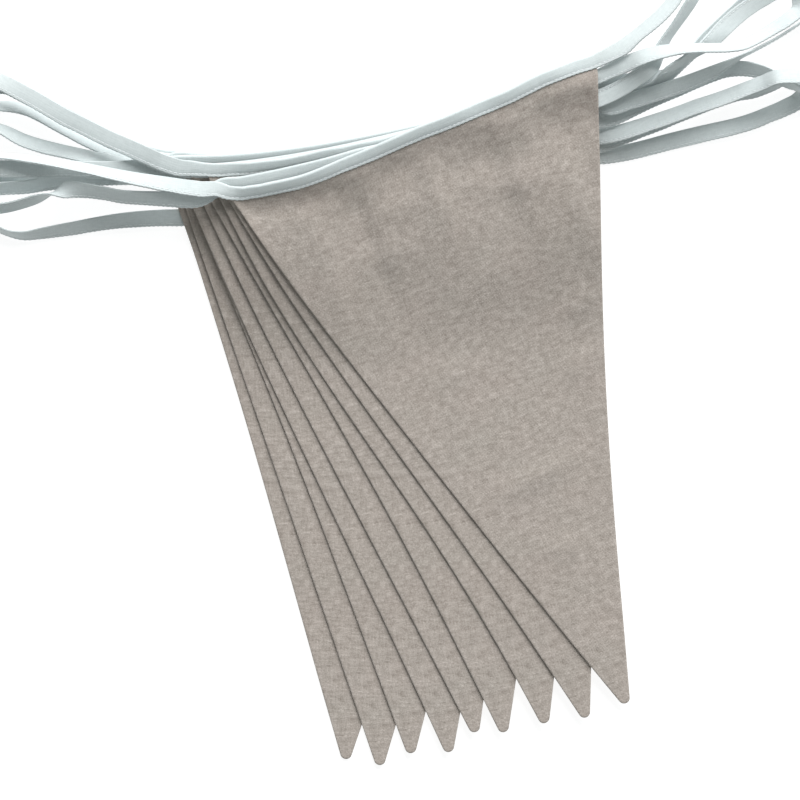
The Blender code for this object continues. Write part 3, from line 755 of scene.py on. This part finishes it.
def half_width(along):
    """Half the width of a pennant, with its rounded tip."""
    half = PENNANT_WIDTH / 2
    tip_along = PENNANT_LENGTH - TIP_RADIUS
    slant = math.atan2(half - TIP_RADIUS, tip_along)
    edge_across = TIP_RADIUS * math.cos(slant)
    edge_along = tip_along + TIP_RADIUS * math.sin(slant)
    straight = half - (half - edge_across) * np.clip(along / edge_along, 0.0, 1.0)
    rounded = np.sqrt(np.maximum(TIP_RADIUS**2 - (along - tip_along) ** 2, 0.0))
    return np.where(along > edge_along, rounded, straight)


def make_object(name, points, faces, material, uvs=None):
    """A mesh of `points` in the photograph's millimetres. `uvs` are places on the flat cloth, also in mm."""
    mesh = bpy.data.meshes.new(name)
    mesh.from_pydata(((np.asarray(points) + SHIFT) * MM).tolist(), [], faces)
    mesh.polygons.foreach_set("use_smooth", [True] * len(mesh.polygons))
    if uvs is not None:
        corners = np.empty(len(mesh.loops), int)
        mesh.loops.foreach_get("vertex_index", corners)
        layer = mesh.uv_layers.new(name="cloth")
        layer.data.foreach_set("uv", (np.asarray(uvs)[corners] * MM).ravel())
    mesh.materials.append(material)
    made = bpy.data.objects.new(name, mesh)
    bpy.context.scene.collection.objects.link(made)
    return made


def course(rows, across, field):
    """A column of a table at places across a pennant, joined smoothly."""
    marks = np.array([row.across for row in rows])
    values = np.array([getattr(row, field) for row in rows])
    before = np.clip(np.searchsorted(marks, across, side="right") - 1, 0, len(marks) - 2)
    low, high = marks[before], marks[before + 1]
    share = ease((across - low) / (high - low))
    return values[before] * (1 - share) + values[before + 1] * share


def stray(number, across, field):
    return course(STRAYS[number], across, field) if number in STRAYS else np.zeros_like(across)


def bound_tilt(number, across):
    """How far the bound tape leans, in degrees."""
    place = np.clip(across + PENNANT_WIDTH / 2, 0, PENNANT_WIDTH)
    tilt = TILT - (TILT - TILT_RIGHT) * ease((across + 30) / 80)
    tilt = tilt * (TILT_PRESSED if number >= FLAT_FROM else 1.0)
    return tilt * (1 + 0.15 * wander(place, 23.0, 100 + number)) + stray(number, across, "tilt")


def leaning(number, across, along):
    """How the cloth follows its leaning tape: up inside it, down where it comes out."""
    tilt = bound_tilt(number, across)
    slope = np.tan(np.radians(tilt))
    inside = TILT_RISE * tilt - (np.minimum(along, 0.0) + TAPE_WIDTH / 2) * slope
    past = np.maximum(along, 0.0)
    eased = np.clip(1 - past / LEAN_RUN, 0.0, 1.0)
    return inside * eased**2 * (1 + 2 * past / LEAN_RUN) - slope * past * eased**2


def sunken(number, x, y, along):
    """How deep a pennant is sunk in below the front tape. Those below it sink at the same places, but less."""
    tip, down, right = pennant_frame(PENNANTS[0])
    across = (x - tip[0]) * right[0] + (y - tip[1]) * right[1]
    below = PENNANT_LENGTH + (x - tip[0]) * down[0] + (y - tip[1]) * down[1]
    below = below - top_drop(PENNANTS[0], across, below) + stray(0, across, "rise") * (1 - ease(below / 60.0))
    depth, begin, reach = (course(DIPS, across, field) for field in ("depth", "begin", "reach"))
    sunk = np.clip((below - begin) / reach, 0.0, 1.0)
    back = ease((below - begin - reach) / SAG_FAR)
    own = ease(along / SAG_START) if number > 0 else 1.0
    return depth * max(1 - number / FLAT_FROM, 0.0) * own * sunk * (3 - sunk**2) / 2 * (1 - back)


def puckers(number, across, along):
    """The short soft folds that the seam draws up in the cloth under the tape."""
    place = across + PENNANT_WIDTH / 2
    folds = ease(0.5 + 0.5 * wander(place, 7.5, 40 + number)) * (0.6 + 0.4 * wander(place, 31.0, 60 + number))
    reach = 11 + 6 * wander(place, 17.0, 80 + number)
    height = PUCKER if number == 0 else PUCKER_BELOW
    return height * folds * ease(along / 3.0) * (1 - ease(along / reach / 1.6))


def creases(across, along):
    """The first pennant's soft ridges, which die out at its seam."""
    height = np.zeros_like(across)
    for crease in CREASES:
        turn = math.radians(crease.turn)
        right, down = across - crease.across, along - crease.along
        lengthwise = (right * math.cos(turn) + down * math.sin(turn)) / crease.length
        sideways = (down * math.cos(turn) - right * math.sin(turn)) / crease.width
        height += crease.height * np.exp(-(lengthwise**2) - sideways**2)
    return height * ease(along / 6.0)


def pennant_sheet(number, material):
    """One pennant: a closed thin sheet draped over the layers below it, with turned, rounded edges."""
    tip_along = PENNANT_LENGTH - TIP_RADIUS
    straight = np.arange(-TUCK, tip_along, ROW_STEP)
    turns = np.radians((0, 18, 36, 52, 66, 78, 87))
    rows = np.concatenate([straight, tip_along + TIP_RADIUS * np.sin(turns)])
    widths = half_width(rows)
    steps = np.array(EDGE_STEPS)
    middle = np.linspace(-1.0, 1.0, COLUMNS)[1:-1]
    insets = steps[None] * np.minimum(widths / (2.2 * steps[-1]), 1.0)[:, None]
    inner = widths[:, None] - insets[:, -1:]
    across = np.concatenate([-widths[:, None] + insets, inner * middle, (widths[:, None] - insets)[:, ::-1]], 1)
    along = np.broadcast_to(rows[:, None], across.shape)
    from_edge = np.minimum(widths[:, None] - abs(across), PENNANT_LENGTH - along)
    from_edge = np.minimum(np.maximum(from_edge, 0.0), along + TUCK + 0.02)
    half = CLOTH_THICKNESS / 2 * np.sqrt(1 - (1 - np.minimum(from_edge / EDGE_ROUND, 1.0)) ** 2)
    half = half * (0.55 + 0.45 * ease(along / 3.0))
    rise = stray(number, across, "rise") * (1 - ease(along / 60.0))
    x, y = on_pennant(PENNANTS[number], across, along - rise)
    z = layer_height(number, x, y) + leaning(number, across, along) + puckers(number, across, along)
    z = z + wave(x, y) - sunken(number, x, y, along)
    if number == 0:
        z = z + creases(across, along)
    z = np.maximum(z, CLOTH_THICKNESS / 2)
    top = np.stack([x, y, z + half], axis=2)
    bottom = np.stack([x, y, z - half], axis=2)
    lines, columns = across.shape
    index = np.arange(lines * columns).reshape(lines, columns)
    under = index + lines * columns
    quads = []
    for grid, turned in ((index, False), (under, True)):
        a, b, c, d = grid[:-1, :-1], grid[1:, :-1], grid[1:, 1:], grid[:-1, 1:]
        sides = (a, d, c, b) if turned else (a, b, c, d)
        quads.append(np.stack(sides, axis=2).reshape(-1, 4))
    ring = np.concatenate([index[:, 0], index[-1, 1:], index[-2::-1, -1], index[0, -2:0:-1]])
    after = np.roll(ring, -1)
    offset = lines * columns
    quads.append(np.stack([ring, ring + offset, after + offset, after], axis=1))
    uvs = np.stack([across, along], axis=2).reshape(-1, 2)
    points = np.concatenate([top.reshape(-1, 3), bottom.reshape(-1, 3)])
    name = f"linen_pennant_{number + 1}"
    return make_object(name, points, np.concatenate(quads).tolist(), material, np.concatenate([uvs, uvs]))


def lean(tape):
    """Tilts the bound stretches and lets the front one stray, easing out along the loose tape."""
    for number, pennant in enumerate(PENNANTS):
        tip, down, right = pennant_frame(pennant)
        rows = [row for row, own in enumerate(tape["layer"]) if own == number]
        x, y = tape["x"][rows], tape["y"][rows]
        across = (x - tip[0]) * right[0] + (y - tip[1]) * right[1]
        share = tape["opening"][rows]
        rise = stray(number, np.clip(across, -100.0, 100.0), "rise") * share
        tape["x"][rows] = x - down[0] * rise
        tape["y"][rows] = y - down[1] * rise
        turn = bound_tilt(number, np.clip(across, -100.0, 100.0)) * share
        tape["z"][rows] += TILT_RISE * turn
        tape["roll"][rows] += turn * (-1 if number % 2 else 1)


def tape_sections(tape):
    """The folded strip's outline at each station, as (towards the open edge, towards the front) pairs: a
    round fold, two leaves that a row of stitches draws together, and the slot between them."""
    count = len(tape["x"])
    opening = tape["opening"]
    half = thickness(tape) / 2 - EASE_IN
    lip = half - LIP_DROP * opening
    edge = TAPE_WIDTH / 2
    open_edge = edge - BOUND_SHORT * opening
    depth = 3.6 + (TAPE_WIDTH - 4.4 - BOUND_SHORT) * opening
    hole = (np.arange(count) % 2 == 0).astype(float)
    groove = SEAM_DEPTH * (0.35 + 0.65 * hole) * (0.5 + 0.5 * opening)
    puff = 0.1 * (1 - hole)
    rim = open_edge - RIM_PULL * hole + 0.12 * wander(tape["at"], 6.0, 7)
    crown = 0.08 + 0.08 * wander(tape["at"], 21.0, 5)
    fold = np.minimum(half, 0.9)
    seam = open_edge - SEAM_INSET
    middle = (fold * 1.4 - edge + seam) / 2
    outer = [
        (-edge + fold * 0.15, half * 0.6),
        (-edge + fold * 0.7, half * 0.97),
        (-edge + fold * 1.4, half),
        (middle, (half + lip) / 2 + crown),
        (seam - 0.45, lip + (half - lip) * 0.1 + crown * 0.3 - groove * 0.15),
        (seam, lip - groove),
        (seam + 0.45, lip - groove * 0.1 + puff * 0.5),
        (rim - 0.35, lip + puff),
        (rim, lip - 0.22),
    ]
    inner = [
        (rim - 0.1, lip - 0.42 + 0.06 * opening),
        (open_edge - depth * 0.35, 0.12 + 0.33 * opening),
        (open_edge - depth, 0.15 + 0.55 * opening),
    ]
    front = outer + inner
    back = [(across, -out) for across, out in front[::-1]]
    outline = [(np.full(count, -edge), np.zeros(count))] + front + back
    return np.stack([np.stack(pair, axis=1) for pair in outline], axis=1)


def tape_strip(tape, material):
    """The whole folded tape as one closed strip."""
    points = offsets_to_points(tape, tape_sections(tape))
    points[..., 2] += wave(points[..., 0], points[..., 1])
    count, sides = points.shape[:2]
    index = np.arange(count * sides).reshape(count, sides)
    beside = np.roll(index, -1, axis=1)
    quads = np.stack([index[:-1], beside[:-1], beside[1:], index[1:]], axis=2).reshape(-1, 4).tolist()
    quads += [index[0, ::-1].tolist(), index[-1].tolist()]
    across = np.concatenate([[0.0], np.linspace(0.6, TAPE_WIDTH, 9), np.linspace(9.2, 12.0, 3)])
    across = np.concatenate([across, across[:0:-1] * -1])
    uvs = np.stack(np.broadcast_arrays(across[None], tape["at"][:, None]), axis=2).reshape(-1, 2)
    return make_object("cotton_tape", points.reshape(-1, 3), quads, material, uvs)


def stitches(tape, material):
    """The row of stitches along the open edge, each a short bow of thread, in front and behind."""
    half = thickness(tape) / 2 - EASE_IN - LIP_DROP * tape["opening"]
    seam = TAPE_WIDTH / 2 - BOUND_SHORT * tape["opening"] - SEAM_INSET
    groove = SEAM_DEPTH * (0.5 + 0.5 * tape["opening"])
    count = len(half)
    lines = []
    for side in (1, -1):
        surface = [(seam, side * (half - groove)), (seam, side * (half + 1))]
        pair = offsets_to_points(tape, np.stack([np.stack(one, axis=1) for one in surface], axis=1))
        out = pair[:, 1] - pair[:, 0]
        lines.append((pair[:, 0], out / np.linalg.norm(out, axis=1)[:, None]))
    points, faces = [], []
    turns = np.radians(np.arange(5) * 72)
    for base, out in lines:
        for start in range(0, count - 2, 2):
            here, mid, there = base[start], base[start + 1], base[start + 2]
            travel = (there - here) / np.linalg.norm(there - here)
            up = out[start + 1]
            aside = np.cross(travel, up)
            first = len(points)
            for share, lift, radius in STITCH_BOW:
                centre = here + (there - here) * share + up * lift
                for turn in turns:
                    points.append(centre + (aside * math.cos(turn) + up * math.sin(turn)) * radius)
            for step in range(len(STITCH_BOW) - 1):
                for side in range(5):
                    a, b = first + step * 5 + side, first + step * 5 + (side + 1) % 5
                    faces.append((a, b, b + 5, a + 5))
    points = np.array(points)
    points[:, 2] += wave(points[:, 0], points[:, 1])
    return make_object("seam_stitches", points, faces, material)


class Surface:
    """A cloth material whose colour and bump come from textures laid on the flat cloth."""

    def __init__(self, name, roughness, sheen):
        self.material = bpy.data.materials.new(name)
        self.material.use_nodes = True
        self.nodes = self.material.node_tree.nodes
        self.links = self.material.node_tree.links
        self.shader = self.nodes["Principled BSDF"]
        self.shader.inputs["Roughness"].default_value = roughness
        self.shader.inputs["Sheen Weight"].default_value = sheen
        self.shader.inputs["Sheen Roughness"].default_value = 0.6
        self.place = self.nodes.new("ShaderNodeUVMap")
        self.place.uv_map = "cloth"

    def noise(self, across, along, detail=2.0, source=None):
        """Noise whose grains are `across` by `along` millimetres."""
        mapping = self.nodes.new("ShaderNodeMapping")
        mapping.inputs["Scale"].default_value = (1 / (across * MM), 1 / (along * MM), 1.0)
        self.links.new(source or self.place.outputs["UV"], mapping.inputs["Vector"])
        noise = self.nodes.new("ShaderNodeTexNoise")
        noise.inputs["Scale"].default_value = 1.0
        noise.inputs["Detail"].default_value = detail
        noise.inputs["Roughness"].default_value = 0.6
        self.links.new(mapping.outputs["Vector"], noise.inputs["Vector"])
        return noise.outputs["Fac"]

    def math(self, operation, first, second):
        node = self.nodes.new("ShaderNodeMath")
        node.operation = operation
        for value, socket in zip((first, second), node.inputs):
            if isinstance(value, (int, float)):
                socket.default_value = value
            else:
                self.links.new(value, socket)
        return node.outputs["Value"]

    def mixture(self, parts):
        """The weighted sum of (value, weight) pairs."""
        total = None
        for value, weight in parts:
            term = self.math("MULTIPLY", value, weight)
            total = term if total is None else self.math("ADD", total, term)
        return total

    def weave(self, pitch):
        """A plain weave with threads `pitch` millimetres apart, a little uneven."""
        bent = self.nodes.new("ShaderNodeMapping")
        self.links.new(self.place.outputs["UV"], bent.inputs["Vector"])
        threads = []
        for direction in ("X", "Y"):
            wave_node = self.nodes.new("ShaderNodeTexWave")
            wave_node.bands_direction = direction
            wave_node.inputs["Scale"].default_value = 1 / (pitch * MM) * 2 * math.pi / 20
            wave_node.inputs["Distortion"].default_value = 1.6
            wave_node.inputs["Detail"].default_value = 1.0
            wave_node.inputs["Detail Scale"].default_value = 1.5
            self.links.new(bent.outputs["Vector"], wave_node.inputs["Vector"])
            threads.append(wave_node.outputs["Fac"])
        return self.math("MULTIPLY", *threads)

    def colours(self, value, stops):
        ramp = self.nodes.new("ShaderNodeValToRGB")
        elements = ramp.color_ramp.elements
        while len(elements) < len(stops):
            elements.new(0.5)
        for element, (place, colour) in zip(elements, stops):
            element.position = place
            element.color = (*colour, 1.0)
        self.links.new(value, ramp.inputs["Fac"])
        return ramp.outputs["Color"]

    def tint(self, colour, amount, shade):
        """Multiplies a colour by `shade` where `amount` is high."""
        mix = self.nodes.new("ShaderNodeMix")
        mix.data_type = "RGBA"
        mix.blend_type = "MULTIPLY"
        self.links.new(amount, mix.inputs["Factor"])
        self.links.new(colour, mix.inputs["A"])
        mix.inputs["B"].default_value = (*shade, 1.0)
        return mix.outputs["Result"]

    def finish(self, colour, height, relief):
        self.links.new(colour, self.shader.inputs["Base Color"])
        bump = self.nodes.new("ShaderNodeBump")
        bump.inputs["Strength"].default_value = 1.0
        bump.inputs["Distance"].default_value = relief * MM
        self.links.new(height, bump.inputs["Height"])
        self.links.new(bump.outputs["Normal"], self.shader.inputs["Normal"])
        return self.material


def linen_material():
    """Undyed linen: slubby threads both ways, a fine grain and faint warm and cool patches."""
    cloth = Surface("undyed linen", 0.92, 0.12)
    weft = cloth.noise(6.0, 1.4, 3.0)
    warp = cloth.noise(1.3, 6.0, 3.0)
    grain = cloth.noise(0.8, 0.8, 3.0)
    slubs = cloth.noise(5.0, 3.6, 2.0)
    threads = cloth.mixture([(weft, 0.24), (warp, 0.2), (grain, 0.34), (slubs, 0.22)])
    colour = cloth.colours(threads, LINEN_STOPS)
    colour = cloth.tint(colour, cloth.noise(26.0, 34.0, 2.0), (1.0, 0.965, 0.955))
    colour = cloth.tint(colour, cloth.noise(41.0, 23.0, 2.0), (0.965, 1.0, 0.985))
    height = cloth.mixture([(threads, 1.0), (cloth.weave(0.7), 0.25)])
    return cloth.finish(colour, height, 0.35)


def cotton_material(name, relief):
    """Cool white cotton with a close weave."""
    cloth = Surface(name, 0.85, 0.2)
    weft = cloth.noise(3.5, 0.35, 2.0)
    warp = cloth.noise(0.35, 3.5, 2.0)
    threads = cloth.mixture([(weft, 0.5), (warp, 0.5)])
    colour = cloth.colours(threads, COTTON_STOPS)
    colour = cloth.tint(colour, cloth.noise(7.0, 19.0, 2.0), (0.93, 0.945, 0.955))
    height = cloth.mixture([(threads, 1.0), (cloth.weave(0.4), 0.3)])
    return cloth.finish(colour, height, relief)


def thread_material():
    """Bleached cotton thread."""
    material = bpy.data.materials.new("white thread")
    material.use_nodes = True
    nodes, links = material.node_tree.nodes, material.node_tree.links
    place = nodes.new("ShaderNodeTexCoord")
    strands = nodes.new("ShaderNodeTexNoise")
    strands.inputs["Scale"].default_value = 2500.0
    ramp = nodes.new("ShaderNodeValToRGB")
    ramp.color_ramp.elements[0].color = (0.66, 0.69, 0.7, 1.0)
    ramp.color_ramp.elements[1].color = (0.84, 0.87, 0.88, 1.0)
    links.new(place.outputs["Object"], strands.inputs["Vector"])
    links.new(strands.outputs["Fac"], ramp.inputs["Fac"])
    links.new(ramp.outputs["Color"], nodes["Principled BSDF"].inputs["Base Color"])
    nodes["Principled BSDF"].inputs["Roughness"].default_value = 0.6
    return material


def floor_material():
    material = bpy.data.materials.new("pale floor")
    material.use_nodes = True
    shader = material.node_tree.nodes["Principled BSDF"]
    shader.inputs["Base Color"].default_value = (0.3, 0.3, 0.3, 1.0)
    shader.inputs["Roughness"].default_value = 1.0
    shader.inputs["Specular IOR Level"].default_value = 0.0
    shader.inputs["Emission Color"].default_value = (1.0, 1.0, 1.0, 1.0)
    shader.inputs["Emission Strength"].default_value = FLOOR_GLOW
    return material


def add_stage():
    """The white surface, the light from the photograph's top right, and the camera straight above."""
    scene = bpy.context.scene
    mesh = bpy.data.meshes.new("floor")
    size, low = 3.0, -0.0005
    corners = [(-size, -size, low), (size, -size, low), (size, size, low), (-size, size, low)]
    mesh.from_pydata(corners, [], [(0, 1, 2, 3)])
    mesh.materials.append(floor_material())
    floor = bpy.data.objects.new("floor", mesh)
    scene.collection.objects.link(floor)
    scene.world = bpy.data.worlds.new("soft fill")
    scene.world.use_nodes = True
    fill = scene.world.node_tree.nodes["Background"]
    fill.inputs["Color"].default_value = (0.94, 1.0, 0.99, 1.0)
    fill.inputs["Strength"].default_value = FILL
    lamp = bpy.data.lights.new("key", "SUN")
    lamp.energy = KEY * math.pi
    lamp.angle = math.radians(KEY_SPREAD)
    key = bpy.data.objects.new("key", lamp)
    key.rotation_euler = Vector(KEY_FROM).to_track_quat("Z", "Y").to_euler()
    scene.collection.objects.link(key)
    lens = bpy.data.cameras.new("camera")
    lens.sensor_width = 36.0
    lens.lens = 36.0 * CAMERA_HEIGHT / PHOTO_WIDTH
    camera = bpy.data.objects.new("camera", lens)
    camera.location = (SHIFT[0] * MM, SHIFT[1] * MM, CAMERA_HEIGHT * MM)
    scene.collection.objects.link(camera)
    scene.camera = camera
    scene.view_settings.view_transform = "Standard"


def shift_to_model():
    """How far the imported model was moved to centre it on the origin, in millimetres."""
    low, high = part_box("pennant_1")
    rows = np.concatenate([[-TUCK], np.linspace(0, PENNANT_LENGTH, 400)])
    sides = [on_pennant(PENNANTS[0], side * half_width(rows), rows) for side in (-1, 1)]
    x, y = np.concatenate([side[0] for side in sides]), np.concatenate([side[1] for side in sides])
    centre = ((low + high) / 2)[:2]
    return np.array((centre[0] / MM - (x.min() + x.max()) / 2, centre[1] / MM - (y.min() + y.max()) / 2, 0.0))


SHIFT = shift_to_model()
linen = linen_material()
cotton = cotton_material("white cotton tape", 0.12)
tape = tape_stations()
spread_apart(tape)
fine = refined(tape, STITCH / 2)
lean(fine)
for number in range(len(PENNANTS)):
    sheet = pennant_sheet(number, linen)
    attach(sheet, "root")
    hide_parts(f"pennant_{number + 1}")
strip = tape_strip(fine, cotton)
seam = stitches(fine, thread_material())
for piece in (strip, seam):
    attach(piece, "root")
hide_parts("tape")
add_stage()

bpy.context.view_layer.update()
